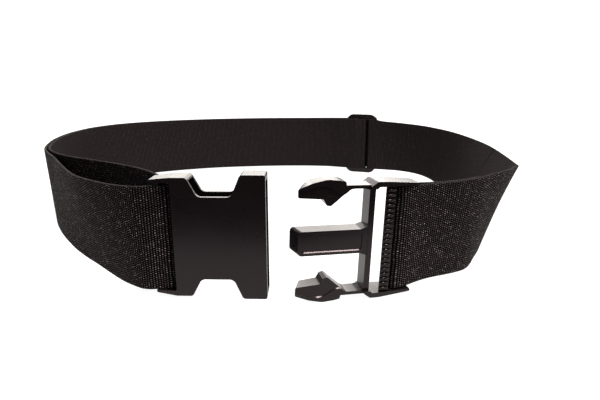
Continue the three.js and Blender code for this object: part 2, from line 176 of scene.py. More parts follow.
# The panel in the front of the guide, and how far the low side of its cutter leans
GUIDE_PANEL = (
    Corner(-1.6, 4.4, 1.6),
    Corner(-30.2, 4.4, 1.2),
    Corner(-30.2, -4.0, 1.2),
    Corner(-1.6, -4.0, 1.6),
)
PANEL_FALL = -3.7

# What is taken off the front of a prong, so that its nose and barb lie behind its arm and its
# raised outer part: its outline, its back, and how far the cutter leans on the lower prong
PRONG_SETBACK = (
    Corner(-34.0, 24.2, 0),
    Corner(-26.6, 25.5, 6),
    Corner(-22.0, 26.6, 6),
    Corner(-18.6, 26.0, 5),
    Corner(-13.0, 22.6, 4),
    Corner(-9.4, 22.7, 0),
    Corner(-9.4, 10, 0),
    Corner(-34.0, 10, 0),
)
SETBACK_DEPTH = 2.4
LOWER_SETBACK_FALL = -3.3

SLIDER_FRAME = rectangle(-16.5, 15.2, 30, 7.5)
SLIDER_LEFT_SLOT = rectangle(3.5, 10.5, 26, 0.8)
SLIDER_RIGHT_SLOT = (
    Corner(-10.5, -25.1, 0.4),
    Corner(-6.0, -25.1, 0.4),
    Corner(-5.4, -23.6, 0.8),
    Corner(-3.5, -23.6, 0.4),
    Corner(-3.5, 24.2, 0.4),
    Corner(-5.4, 24.2, 0.8),
    Corner(-6.0, 25.2, 0.4),
    Corner(-10.5, 25.2, 0.4),
)
SLIDER_HALF_DEPTH = 2.0

# Ridges on the slider's middle bar: middles, half their width, and their limits in y and z
SLIDER_RIDGES = (-2.2, -0.75, 0.75, 2.2)
SLIDER_RIDGE_HALF = 0.4
SLIDER_RIDGE_LIMITS = (1.7, 2.25, -25, 25)

# The belt's course: each row is one line across the webbing, by its top corner, its low corner,
# the height of its low corner, and how far inside it the second layer lies
Line = namedtuple("Line", "top_x top_y low_x low_y lift gap", defaults=(None,))
COURSE_RIGHT = (
    Line(87, -135.3, 85.2, -131.3, 2.6),
    Line(106.1, -127.9, 101.8, -124.5, 2.6),
    Line(116.1, -120.4, 110.6, -120.2, 2.63),
    Line(122.2, -114.4, 115.1, -114.2, 2.81),
    Line(131.7, -105.2, 120.5, -104.6, 3.02),
    Line(139.4, -97.2, 125.4, -96.4, 2.88),
    Line(145.8, -87, 131, -85.7, 2.55),
    Line(154.7, -73.6, 136.2, -70.8, 1.8),
    Line(166, -48.2, 140.8, -43.3, 0.86),
    Line(172.2, -10.3, 148.5, -4.7, 0.5),
    Line(173.4, 21.4, 153.4, 27.1, 0.43),
    Line(172, 52.4, 153.8, 59.3, 0.37),
    Line(165.9, 72.9, 153.4, 81.9, 0.36),
    Line(155.3, 92.4, 151.9, 102.2, 0.65),
    Line(140.2, 108.8, 143.7, 117, 2.06),
    Line(121.2, 119.2, 127.3, 126.4, 3.38),
    Line(103.2, 126.6, 111, 129, 3.9),
)
COURSE_LEFT = (
    Line(53.9, 149.5, 53.9, 149.5, 4.5, 4.8),
    Line(27.6, 150.8, 27.6, 150.8, 4.2, 2.2),
    Line(-2.9, 150, -2.9, 150, 4.2, 2.2),
    Line(-33.1, 146.3, -33.1, 146.3, 4.2, 2.2),
    Line(-63, 140.3, -63, 140.7, 4.2, 2.2),
    Line(-92, 130.8, -92, 130.8, 4.2, 2.2),
    Line(-119.4, 117.6, -119.4, 117.6, 4.2, 2.2),
    Line(-144, 99.7, -144, 99.7, 4.1, 2.2),
    Line(-160.3, 74.2, -160.3, 74.2, 3.9, 2.2),
    Line(-165.2, 44.2, -165.2, 44.2, 3.7, 2.2),
    Line(-163.1, 13.9, -162.9, 13.9, 3.5, 2.2),
    Line(-155.5, -15.7, -155.7, -15.7, 3.4, 2.2),
    Line(-144.1, -44.2, -142.7, -43, 3.2, 2.3),
    Line(-125.6, -68.3, -125.6, -68.3, 3),
    Line(-108.5, -94, -106.8, -92, 2.8),
    Line(-90.2, -118.3, -85.4, -113.2, 2.7),
    Line(-65.2, -137.2, -62.6, -135, 2.5),
    Line(-49.8, -145.3, -49.4, -145.1, 3.3),
)

# The second layer where it cuts the left front corner: its middle and the height of its low edge
SHORTCUT = (
    (-53.8, -111.3, 3.6),
    (-72.4, -95.6, 3.5),
    (-95, -81, 3.4),
    (-120.4, -66.6, 3.4),
)

# Courses round the bars, in each half's own frame: x, y and the bend's radius
MALE_WRAP = (
    (MALE_BAR_X + 1.5, WRAP_BACK, 12),
    (MALE_BAR_X - WRAP_RADIUS, WRAP_BACK, WRAP_RADIUS),
    (MALE_BAR_X - WRAP_RADIUS, WRAP_FRONT, WRAP_RADIUS),
    (MALE_BAR_X + 1.5, WRAP_FRONT, 12),
)
FEMALE_WRAP = (
    (FEMALE_BAR_X - 2, WRAP_FRONT, 20),
    (FEMALE_BAR_X + WRAP_RADIUS, WRAP_FRONT, WRAP_RADIUS),
    (FEMALE_BAR_X + WRAP_RADIUS, WRAP_BACK, 10),
)

# Courses through the slider: s along the belt, n towards its inside, and the bend's radius
SLIDER_OUTER_COURSE = (
    (-17.2, 3.1, 6),
    (-9.0, 3.1, 1.5),
    (-6.9, -5.3, 1.6),
    (17.5, -5.3, 30),
)
SLIDER_INNER_COURSE = (
    (17.5, 5.2, 30),
    (3.7, 5.2, 4),
    (-0.6, 3.3, 4),
    (-4.7, 3.3, 1.3),
    (-4.7, -3.2, 1.3),
    (5.0, -3.2, 1.3),
    (5.0, 3.2, 1.3),
    (17.5, 3.2, 20),
    (33, 0.9, 0),
)

# Radius of a bend that is rounded as far as its neighbours leave room
FREE_ROUND = 1e6

# Rows of the course that the sewn tail at the male half lies along
TAIL_ROWS = 4

# The course's mesh: the most that it turns, and the most that it runs, between two lines, and how
# often its leans are evened out
TURN_STEP = math.radians(9)
LONGEST_STEP = 2.2
EVENING_PASSES = 12

# The weave: the scale of its sway, how far that moves its columns and its rows, and how far a
# column slips, all in bumps, and its fibres to the metre along and across
SWAY_SCALE = 130.0
COLUMN_SWAY = 0.5
ROW_SWAY = 1.3
COLUMN_SLIP = 0.3
FIBRES_ALONG = 1400
FIBRES_ACROSS = 9000
# How strongly the weave's painted highlights and its relief show on the outer face and on the
# inner face, which is a dimmer copy
OUTER_CONTRAST = 1.0
INNER_CONTRAST = 0.35
CLOTH_SHINE = 0.02

# From the hollows to the crests of the selvage's loops and of the thread's twist: painted shade in
# the hollows, painted highlight on the crests
SELVAGE_SHADE_AND_HIGHLIGHT = ((0.0015, 0.001, 0.001), (0.04, 0.034, 0.033))
THREAD_SHADE_AND_HIGHLIGHT = ((0.003, 0.0025, 0.0025), (0.020, 0.017, 0.016))

# Scales of the other finishes' patterns
SELVAGE_FIBRE_SCALE = 2600.0
TWIST_SCALE = 700.0
GRAIN_SCALE = 1700.0
FLOW_SCALE = 55.0
RUB_SCALE = (260, 260, 1500)
PAPER_TOOTH_SCALE = 900.0

# Sharper than this, an edge is rounded
MOULDED_EDGE_ANGLE = math.radians(34)
TURNED_EDGE_ANGLE = math.radians(60)

# Rounding of the webbing's edges, as a share of its thickness
TURNED_EDGE_SHARE = 0.3

# Stitches: places of the four seams on the floor plan, and one stitch in metres
SEAMS = ((104.2, -126.0), (106.6, -124.7), (101.8, -122.6), (104.3, -121.2))
STITCH_PITCH = 0.0031
STITCH_HALF = (0.00036, 0.00026, 0.44 * STITCH_PITCH)
SEAM_MARGIN = 0.006

# Lights, in metres: place, target, width, height, and the setting that holds their power
Lamp = namedtuple("Lamp", "name place target width height power")
LAMPS = (
    Lamp("top_light", (0.4, -0.37, 1.4), (0, 0, 0), 0.4, 0.4, "top_power"),
    Lamp("back_light", (-0.2, 1.7, 0.62), (0, 0, 0), 2.8, 0.6, "back_power"),
    Lamp("left_light", (-1.3, 0.5, 0.5), (0, 0, 0.03), 0.8, 0.8, "side_power"),
    Lamp("right_light", (1.3, -0.55, 0.35), (0, 0, 0.03), 0.5, 0.5, "side_power"),
)

# Camera: place in metres, degrees up from straight down, and lens in millimetres
CAMERA_PLACE = (0.019769, -0.348327, 0.1053)
CAMERA_TILT = 74.34
CAMERA_LENS = 28.2
CAMERA_SENSOR = 36

# Between these directions along Y, the near room turns into the far room
ROOM_TURN = (-0.5, 0.4)

Row = namedtuple("Row", "x y lean_x lean_y lift radius gap")


class WebbingSettings(PropertyGroup):
    """Sizes and colours of the webbing"""

    width: FloatProperty(
        name="Width", description="Width of the webbing", default=0.0508, unit="LENGTH"
    )
    thickness: FloatProperty(
        name="Thickness", description="Thickness of one layer", default=0.0016, unit="LENGTH"
    )
    weft_pitch: FloatProperty(
        name="Weft pitch",
        description="Distance between the woven bumps along the belt",
        default=0.00130,
        unit="LENGTH",
    )
    warp_pitch: FloatProperty(
        name="Warp pitch",
        description="Distance between the woven bumps across the belt",
        default=0.00110,
        unit="LENGTH",
    )
    relief: FloatProperty(
        name="Relief", description="Height of the woven bumps", default=0.00032, unit="LENGTH"
    )
    rows_across: IntProperty(
        name="Rows across", description="Mesh rows across the webbing", default=10, min=2
    )
    # Colour between the bumps: the webbing's black, darkened further as painted shade
    hollow_shade_colour: FloatVectorProperty(
        name="Hollows",
        description="Colour between the woven bumps",
        subtype="COLOR",
        size=3,
        default=(0.0030, 0.0016, 0.0020),
    )
    # Colour on top of the bumps: a painted highlight over the webbing's black
    crest_highlight_colour: FloatVectorProperty(
        name="Crests",
        description="Colour on top of the woven bumps",
        subtype="COLOR",
        size=3,
        default=(0.200, 0.163, 0.165),
    )
    # Painted glint colour for the brightest few bumps
    painted_glint_colour: FloatVectorProperty(
        name="Glints",
        description="Colour of the few bumps that shine most",
        subtype="COLOR",
        size=3,
        default=(0.62, 0.55, 0.52),
    )


class BuckleSettings(PropertyGroup):
    """Sizes and colours of the moulded pieces"""

    edge_radius: FloatProperty(
        name="Edge radius",
        description="Rounding of the moulded edges",
        default=0.00045,
        unit="LENGTH",
    )
    crown: FloatProperty(
        name="Crown",
        description="How far the female half's faces fall back at its top and low edges",
        default=0.0005,
        unit="LENGTH",
    )
    ridge_pitch: FloatProperty(
        name="Ridge pitch",
        description="Distance between the grip ridges on the male half",
        default=0.0024,
        unit="LENGTH",
    )
    recess: FloatProperty(
        name="Recess",
        description="Depth of the panel in the front of the guide",
        default=0.00045,
        unit="LENGTH",
    )
    plastic_colour: FloatVectorProperty(
        name="Plastic",
        description="Colour of the moulded plastic",
        subtype="COLOR",
        size=3,
        default=(0.0046, 0.0030, 0.0034),
    )


class StageSettings(PropertyGroup):
    """Floor, light and camera"""

    floor_width: FloatProperty(
        name="Floor width", description="Width of the paper floor", default=6.0, unit="LENGTH"
    )
    floor_front: FloatProperty(
        name="Floor front",
        description="How far the paper reaches in front of the belt's middle",
        default=0.222,
        unit="LENGTH",
    )
    top_power: FloatProperty(
        name="Top light", description="Power of the light above", default=34.0, unit="POWER"
    )
    back_power: FloatProperty(
        name="Back light", description="Power of the light behind", default=28.0, unit="POWER"
    )
    side_power: FloatProperty(
        name="Side lights", description="Power of each light at a side", default=3.5, unit="POWER"
    )
    warmth: FloatVectorProperty(
        name="Warmth",
        description="Colour of the lights",
        subtype="COLOR",
        size=3,
        default=(1.0, 0.955, 0.90),
    )
    backdrop: FloatProperty(
        name="Backdrop", description="Brightness of the backdrop in the picture", default=1.1
    )
    room_far: FloatProperty(
        name="Far room", description="Light from the room behind the belt", default=0.5
    )
    room_near: FloatProperty(
        name="Near room", description="Light from the room on the camera's side", default=0.075
    )


class Value:
    """A number that varies over a surface. Arithmetic on it adds Math nodes."""

    def __init__(self, finish, socket):
        self.finish = finish
        self.socket = socket

    def maths(self, operation, *others, swap=False):
        terms = [self, *others]
        if swap:
            terms.reverse()
        made = self.finish.node("ShaderNodeMath", {"operation": operation}, dict(enumerate(terms)))
        return Value(self.finish, made.outputs["Value"])

    def __add__(self, other):
        return self.maths("ADD", other)

    def __sub__(self, other):
        return self.maths("SUBTRACT", other)

    def __rsub__(self, other):
        return self.maths("SUBTRACT", other, swap=True)

    def __mul__(self, other):
        return self.maths("MULTIPLY", other)

    def __pow__(self, other):
        return self.maths("POWER", other)

    __radd__ = __add__
    __rmul__ = __mul__

    def fraction(self):
        return self.maths("FRACT")

    def whole(self):
        return self.maths("FLOOR")

    def arch(self):
        """Up from 0 to 1 and down again over each whole step"""
        from_middle = self.fraction() * 2 - 1
        return 1 - from_middle * from_middle

    def within(self, low, high):
        """Softly from 0 to 1 between two limits"""
        made = self.finish.node(
            "ShaderNodeMapRange",
            {"clamp": True, "interpolation_type": "SMOOTHSTEP"},
            {"Value": self, "From Min": low, "From Max": high},
        )
        return Value(self.finish, made.outputs["Result"])


class Finish:
    """A material or a surround, and the nodes that it is made of"""

    def __init__(self, owner):
        self.owner = owner
        owner.use_nodes = True
        self.tree = owner.node_tree
        self.tree.nodes.clear()

    def node(self, kind, settings=None, inputs=None):
        """A node with its settings, then the values or links of its sockets"""
        made = self.tree.nodes.new(kind)
        for key, value in (settings or {}).items():
            setattr(made, key, value)
        for key, value in (inputs or {}).items():
            if isinstance(value, Value):
                self.tree.links.new(value.socket, made.inputs[key])
            elif isinstance(value, bpy.types.NodeSocket):
                self.tree.links.new(value, made.inputs[key])
            else:
                made.inputs[key].default_value = value
        return made

    def value(self, socket):
        return Value(self, socket)

    def place(self):
        """Places on the piece itself"""
        return self.node("ShaderNodeTexCoord").outputs["Object"]

    def noise(self, vector, scale, detail=2.0, roughness=0.5):
        made = self.node(
            "ShaderNodeTexNoise",
            None,
            {"Vector": vector, "Scale": scale, "Detail": detail, "Roughness": roughness},
        )
        return self.value(made.outputs["Fac"])

    def mixed(self, share, first, second):
        """From the first colour to the second; sockets 6 and 7 are a Mix node's colours"""
        if isinstance(first, tuple):
            first = (*first, 1.0)
        made = self.node(
            "ShaderNodeMix", {"data_type": "RGBA"}, {0: share, 6: first, 7: (*second, 1.0)}
        )
        return made.outputs[2]

    def surface(self, colour, roughness, fixed, height=None, relief=0.0):
        """The finished surface. What is fixed is the same all over it."""
        inputs = {"Base Color": colour, "Roughness": roughness, **fixed}
        if height is not None:
            bump = self.node(
                "ShaderNodeBump", None, {"Height": height, "Distance": relief, "Strength": 1.0}
            )
            inputs["Normal"] = bump.outputs["Normal"]
        shader = self.node("ShaderNodeBsdfPrincipled", None, inputs)
        self.node("ShaderNodeOutputMaterial", None, {"Surface": shader.outputs["BSDF"]})
        return self.owner


def strap_map(finish):
    """The strap's own map, and its metres along and across"""
    strap = finish.node("ShaderNodeUVMap", {"uv_map": "strap"}).outputs["UV"]
    split = finish.node("ShaderNodeSeparateXYZ", None, {"Vector": strap})
    return strap, finish.value(split.outputs["X"]), finish.value(split.outputs["Y"])


def woven_finish(name, settings, contrast):
    """Woven bumps in staggered columns with painted highlights on their crests and painted shade
    in their hollows, a few of them with a brighter painted glint
    """
    finish = Finish(bpy.data.materials.new(name))
    strap, metres_along, metres_across = strap_map(finish)
    sway = finish.noise(strap, SWAY_SCALE)
    along = metres_along * (1 / settings.weft_pitch) + sway * COLUMN_SWAY
    column = along.whole()
    slip = finish.node("ShaderNodeTexWhiteNoise", {"noise_dimensions": "1D"}, {"W": column})
    stagger = (column * 0.5).fraction() + finish.value(slip.outputs["Value"]) * COLUMN_SLIP
    across = metres_across * (1 / settings.warp_pitch) + stagger + sway * ROW_SWAY
    cell = finish.node("ShaderNodeCombineXYZ", None, {"X": column, "Y": across.whole()})
    chance = finish.node("ShaderNodeTexWhiteNoise", None, {"Vector": cell.outputs["Vector"]})
    luck = finish.value(chance.outputs["Value"])
    crown = along.arch() * across.arch()
    fibre_place = finish.node(
        "ShaderNodeCombineXYZ",
        None,
        {"X": metres_along * FIBRES_ALONG, "Y": metres_across * FIBRES_ACROSS},
    )
    fibres = finish.noise(fibre_place.outputs["Vector"], 1.0, detail=3.0)

    # Crests get a painted highlight, strongest by luck where the contrast is full, and fade to an
    # even tone where it isn't; the hollows keep painted shade
    highlight_spark = luck * luck * luck * (0.75 * contrast) + 0.36
    crest_highlight_share = crown.within(0.6, 1.0) * highlight_spark * contrast + (1 - contrast) * 0.06
    # Mix from the painted shade of the hollows to the painted highlight of the crests
    colour = finish.mixed(crest_highlight_share, tuple(settings.hollow_shade_colour), tuple(settings.crest_highlight_colour))
    # A few lucky crests get a brighter painted glint
    painted_glint_share = crown.within(0.8, 1.0) * luck.within(0.8, 1.0) * (contrast * contrast * 0.4)
    colour = finish.mixed(painted_glint_share, colour, tuple(settings.painted_glint_colour))
    roughness = 0.74 - crest_highlight_share * 0.3 + fibres * 0.1
    height = crown ** 0.6 * (luck * 0.35 + 0.75) + fibres * 0.14
    fixed = {"Specular IOR Level": CLOTH_SHINE}
    return finish.surface(colour, roughness, fixed, height, settings.relief * contrast)


def selvage_finish(settings):
    """The turned edge of the weave: one row of tight weft loops, with a painted highlight on each
    loop's crest and painted shade between the loops
    """
    finish = Finish(bpy.data.materials.new("black_selvage"))
    _, metres_along, _ = strap_map(finish)
    fibres = finish.noise(finish.place(), SELVAGE_FIBRE_SCALE, detail=3.0)
    loop = (metres_along * (1 / settings.weft_pitch)).arch()
    # Painted highlight on each loop's crest, painted shade between the loops
    colour = finish.mixed(loop.within(0.45, 1.0), *SELVAGE_SHADE_AND_HIGHLIGHT)
    roughness = 0.62 + fibres * 0.14
    height = loop + fibres * 0.25
    fixed = {"Specular IOR Level": CLOTH_SHINE}
    return finish.surface(colour, roughness, fixed, height, settings.relief * 0.9)


def thread_finish():
    """Twisted sewing thread, with a painted highlight on the crests of its twist and painted shade
    in its grooves
    """
    finish = Finish(bpy.data.materials.new("black_thread"))
    wave = finish.node(
        "ShaderNodeTexWave",
        {"wave_type": "BANDS", "bands_direction": "DIAGONAL"},
        {"Vector": finish.place(), "Scale": TWIST_SCALE, "Distortion": 1.5},
    )
    twist = finish.value(wave.outputs["Fac"])
    # Painted highlight on the twist's crests, painted shade in its grooves
    colour = finish.mixed(twist, *THREAD_SHADE_AND_HIGHLIGHT)
    return finish.surface(
        colour, 0.6 + twist * 0.1, {"Specular IOR Level": 0.05}, twist, relief=0.00008
    )


def moulded_finish(name, settings, gloss=0.0):
    """Satin black moulded plastic: a faint grain, soft flow marks, and a few dull rubs"""
    finish = Finish(bpy.data.materials.new(name))
    place = finish.place()
    grain = finish.noise(place, GRAIN_SCALE)
    flow = finish.noise(place, FLOW_SCALE, detail=3.0, roughness=0.6)
    stretch = finish.node("ShaderNodeMapping", None, {"Vector": place, "Scale": RUB_SCALE})
    rubs = finish.noise(stretch.outputs["Vector"], 1.0, detail=4.0, roughness=0.65)
    rubbed = rubs.within(0.60, 0.78)
    base = tuple(settings.plastic_colour)
    worn = tuple(part * 2.1 + 0.004 for part in base)
    colour = finish.mixed(rubbed * 0.5 + flow * 0.4, base, worn)
    roughness = 0.22 - gloss + flow * 0.12 + rubbed * 0.10
    height = grain + rubbed * 0.2
    fixed = {"Specular IOR Level": 0.23, "Specular Tint": (1.0, 0.84, 0.88, 1.0)}
    return finish.surface(colour, roughness, fixed, height, relief=0.000004)


def floor_finish():
    """White paper with a fine tooth, lit up a little like a light table"""
    finish = Finish(bpy.data.materials.new("white_paper"))
    tooth = finish.noise(finish.place(), PAPER_TOOTH_SCALE)
    fixed = {
        "Specular IOR Level": 0.0,
        "Emission Color": (1.0, 1.0, 1.0, 1.0),
        "Emission Strength": 0.95,
    }
    return finish.surface((0.3, 0.3, 0.3, 1.0), 0.9 + tooth * 0.05, fixed)


def placed(pose):
    """From a half's own frame, in metres, to the belt's frame"""
    place = Vector((pose.x, pose.y, pose.z)) - FOOTPRINT_MIDDLE
    turn = Matrix.Rotation(math.radians(pose.yaw), 4, "Z")
    roll = Matrix.Rotation(math.radians(pose.roll), 4, "Y")
    return Matrix.Translation(place * MM) @ turn @ roll


def new_piece(name, bm, finishes):
    """A mesh object from a finished bmesh, on the belt's one body"""
    mesh = bpy.data.meshes.new(name)
    bm.to_mesh(mesh)
    bm.free()
    mesh.shade_smooth()
    piece = bpy.data.objects.new(name, mesh)
    bpy.context.scene.collection.objects.link(piece)
    for finish in finishes:
        mesh.materials.append(finish)
    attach(piece, "root")
    return piece


def moulded_piece(name, parts, pose, finish, edge_radius):
    """A piece from parts in its own frame, put in its place, with every sharp edge rounded"""
    whole = gathered(parts)
    bmesh.ops.transform(whole, matrix=placed(pose), verts=whole.verts[:])
    piece = new_piece(name, whole, [finish])
    bevel = piece.modifiers.new("moulded_edges", "BEVEL")
    bevel.limit_method = "ANGLE"
    bevel.angle_limit = MOULDED_EDGE_ANGLE
    bevel.width = edge_radius
    bevel.segments = 3
    bevel.miter_outer = "MITER_ARC"
    bevel.harden_normals = True
    return piece


def flat_outline(corners, depth):
    """A flat face with rounded corners, x and z in millimetres, at the given depth"""
    shortest_leg = 0.05
    degrees_per_segment = 14
    bm = bmesh.new()
    points = [bm.verts.new((c.x * MM, depth * MM, c.z * MM)) for c in corners]
    bm.faces.new(points)
    for i, corner in enumerate(corners):
        before = corners[i - 1]
        after = corners[(i + 1) % len(corners)]
        inward = Vector((corner.x - before.x, corner.z - before.z))
        outward = Vector((after.x - corner.x, after.z - corner.z))
        turn = inward.angle(outward)
        leg = min(corner.radius * math.tan(turn / 2), inward.length / 2, outward.length / 2)
        if leg < shortest_leg:
            continue
        bmesh.ops.bevel(
            bm,
            geom=[points[i]],
            offset=leg * MM,
            offset_type="OFFSET",
            affect="VERTICES",
            segments=max(2, math.ceil(math.degrees(turn) / degrees_per_segment)),
            profile=0.5,
            material=-1,
        )
    return bm


def plate(corners, near, far):
    """The outline drawn out from depth near to depth far"""
    bm = flat_outline(corners, near)
    grown = bmesh.ops.extrude_face_region(bm, geom=bm.faces[:])
    far_side = [part for part in grown["geom"] if isinstance(part, bmesh.types.BMVert)]
    bmesh.ops.translate(bm, verts=far_side, vec=(0, (far - near) * MM, 0))
    bmesh.ops.recalc_face_normals(bm, faces=bm.faces[:])
    return bm


def block(x0, x1, y0, y1, z0, z1):
    """A plain block between its limits, in millimetres"""
    bm = bmesh.new()
    bmesh.ops.create_cube(bm, size=1.0)
    bmesh.ops.scale(bm, verts=bm.verts[:], vec=((x1 - x0) * MM, (y1 - y0) * MM, (z1 - z0) * MM))
    middle = Vector((x0 + x1, y0 + y1, z0 + z1)) * (MM / 2)
    bmesh.ops.translate(bm, verts=bm.verts[:], vec=middle)
    return bm


def upright_bar(x, y, radius, half_length):
    """A round bar along z"""
    bm = bmesh.new()
    bmesh.ops.create_cone(
        bm,
        cap_ends=True,
        segments=32,
        radius1=radius * MM,
        radius2=radius * MM,
        depth=2 * half_length * MM,
        matrix=Matrix.Translation((x * MM, y * MM, 0)),
    )
    return bm


def trimmed(bm, shoulder, end):
    """Takes depth off both faces beyond the shoulder, down to the arm's end"""
    overrun = 3
    cut = (BUCKLE_DEPTH - ARM_END_DEPTH) / 2
    run = end + math.copysign(overrun, end - shoulder) - shoulder
    for depth, fall in ((0.0, cut), (BUCKLE_DEPTH, -cut)):
        slope = Vector((run, fall, 0)).normalized()
        normal = Vector((slope.y, -slope.x, 0)) * math.copysign(1, run) * math.copysign(1, fall)
        made = bmesh.ops.bisect_plane(
            bm,
            geom=bm.verts[:] + bm.edges[:] + bm.faces[:],
            plane_co=(shoulder * MM, depth * MM, 0),
            plane_no=normal,
            clear_outer=True,
        )
        edges = [part for part in made["geom_cut"] if isinstance(part, bmesh.types.BMEdge)]
        bmesh.ops.holes_fill(bm, edges=edges, sides=0)
    bmesh.ops.recalc_face_normals(bm, faces=bm.faces[:])
    return bm


def receding(bm, reach, shift):
    """Shifts the back of a shape's left end along x, so that its end face slants"""
    back = 4
    for vert in bm.verts:
        if vert.co.x < reach * MM and vert.co.y > back * MM:
            vert.co.x += shift * MM
    return bm


def flared(bm, fall):
    """Leans one side of a cutter, so that the ledge that it leaves faces half to the front"""
    for vert in bm.verts:
        if vert.co.y < 0 and vert.co.z * fall > 0:
            vert.co.z += fall * MM
    return bm


def mirrored(corners):
    """The same outline at the other end of z"""
    return tuple(Corner(c.x, -c.z, c.radius) for c in reversed(corners))


def gathered(parts):
    """One bmesh from several"""
    whole = bmesh.new()
    for part in parts:
        mesh = bpy.data.meshes.new("part")
        part.to_mesh(mesh)
        part.free()
        whole.from_mesh(mesh)
        bpy.data.meshes.remove(mesh)
    return whole


def carved(bm, tool):
    """The first shape with the second taken away"""
    objects = []
    for name, part in (("body", bm), ("tool", tool)):
        mesh = bpy.data.meshes.new(name)
        part.to_mesh(mesh)
        part.free()
        shape = bpy.data.objects.new(name, mesh)
        bpy.context.scene.collection.objects.link(shape)
        objects.append(shape)
    body, cutter = objects
    change = body.modifiers.new("change", "BOOLEAN")
    change.operation = "DIFFERENCE"
    change.solver = "EXACT"
    change.object = cutter
    depsgraph = bpy.context.evaluated_depsgraph_get()
    result = bmesh.new()
    result.from_mesh(body.evaluated_get(depsgraph).to_mesh())
    for shape in objects:
        mesh = shape.data
        bpy.data.objects.remove(shape)
        bpy.data.meshes.remove(mesh)
    bmesh.ops.remove_doubles(result, verts=result.verts[:], dist=1e-6)
    bmesh.ops.dissolve_limit(
        result, angle_limit=math.radians(0.5), verts=result.verts[:], edges=result.edges[:]
    )
    return result


def rounded_course(rows):
    """Points along the rows with every bend rounded, each with its place in the list of rows"""
    closest = 0.02
    shortest_leg = 0.05
    slightest_turn = 1e-3
    points = []

    def add(x, y, place):
        if not points or math.hypot(points[-1][0] - x, points[-1][1] - y) > closest:
            points.append((x, y, place))

    for i, row in enumerate(rows):
        here = Vector((row.x, row.y))
        if i in (0, len(rows) - 1):
            add(here.x, here.y, float(i))
            continue
        inward = here - Vector((rows[i - 1].x, rows[i - 1].y))
        outward = Vector((rows[i + 1].x, rows[i + 1].y)) - here
        in_length = inward.length
        out_length = outward.length
        inward.normalize()
        outward.normalize()
        turn = math.atan2(inward.cross(outward), inward.dot(outward))
        half = math.tan(abs(turn) / 2)
        leg = min(row.radius * half, in_length / 2, out_length / 2)
        if leg < shortest_leg or abs(turn) < slightest_turn:
            add(here.x, here.y, float(i))
            continue
        radius = leg / half
        steps = math.ceil(max(1, abs(turn) / TURN_STEP, abs(turn) * radius / LONGEST_STEP))
        start = here - inward * leg
        side = math.copysign(radius, turn)
        centre = start + Vector((-inward.y, inward.x)) * side
        for k in range(steps + 1):
            arm = Matrix.Rotation(turn * k / steps, 2) @ (start - centre)
            place = i - leg / in_length + (leg / in_length + leg / out_length) * k / steps
            add(centre.x + arm.x, centre.y + arm.y, place)
    fine = [points[0]]
    for a, b in zip(points, points[1:]):
        pieces = math.ceil(max(1, math.hypot(b[0] - a[0], b[1] - a[1]) / LONGEST_STEP))
        for k in range(1, pieces + 1):
            fine.append(tuple(p + (q - p) * k / pieces for p, q in zip(a, b)))
    return fine


def course_row(line):
    """A row midway between a line's two corners, with its lean"""
    return Row(
        (line.top_x + line.low_x) / 2,
        (line.top_y + line.low_y) / 2,
        (line.top_x - line.low_x) / 2,
        (line.top_y - line.low_y) / 2,
        line.lift,
        FREE_ROUND,
        line.gap,
    )


def buckle_row(pose, drop, x, y, radius, width):
    """A row in a buckle half's own frame, as high and as far over as its strap bar"""
    turn = math.radians(pose.yaw)
    roll = math.radians(pose.roll)
    reach = x * math.cos(roll)
    lean = width / 2 * math.sin(roll)
    return Row(
        pose.x + reach * math.cos(turn) - y * math.sin(turn),
        pose.y + reach * math.sin(turn) + y * math.cos(turn),
        lean * math.cos(turn),
        lean * math.sin(turn),
        pose.z - drop - x * math.sin(roll) - width / 2 * math.cos(roll),
        radius,
        None,
    )


def slider_row(s, n, radius, width):
    """An upright row in the slider's own frame, as high as the slider"""
    turn = math.radians(SLIDER_POSE.yaw)
    x = SLIDER_POSE.x + s * math.cos(turn) - n * math.sin(turn)
    y = SLIDER_POSE.y + s * math.sin(turn) + n * math.cos(turn)
    return Row(x, y, 0, 0, SLIDER_POSE.z - width / 2, radius, None)


def moved_inside(rows, distance=None):
    """The same rows further inside the loop, by one distance or by each row's own gap"""
    moved = []
    for i, row in enumerate(rows):
        a = rows[max(0, i - 1)]
        b = rows[min(len(rows) - 1, i + 1)]
        along = Vector((b.x - a.x, b.y - a.y)).normalized()
        gap = row.gap if distance is None else distance
        moved.append(row._replace(x=row.x - along.y * gap, y=row.y + along.x * gap))
    return moved


def webbing_rows(width):
    """The whole strap, from the sewn tail at the male half to the sewn tail at the slider"""
    right = [course_row(line) for line in COURSE_RIGHT]
    left = [course_row(line) for line in COURSE_LEFT]
    sewn = moved_inside(right[:TAIL_ROWS], LAYER_PITCH)[: TAIL_ROWS - 1][::-1]
    second = moved_inside([row for row in left if row.gap])[::-1]
    return [
        *sewn,
        *[buckle_row(MALE_POSE, MALE_DROP, *place, width) for place in MALE_WRAP],
        *right,
        *[slider_row(*place, width) for place in SLIDER_OUTER_COURSE],
        *left,
        *[buckle_row(FEMALE_POSE, FEMALE_DROP, *place, width) for place in FEMALE_WRAP],
        *[Row(x, y, 0, 0, lift, FREE_ROUND, None) for x, y, lift in SHORTCUT],
        *second,
        *[slider_row(*place, width) for place in SLIDER_INNER_COURSE],
    ]


def evened(values, passes):
    """Takes the kinks out of a list of numbers"""
    for _ in range(passes):
        middle = [(a + 2 * b + c) / 4 for a, b, c in zip(values, values[1:], values[2:])]
        values = [values[0], *middle, values[-1]]
    return values


Station = namedtuple("Station", "middle along across outward distance")


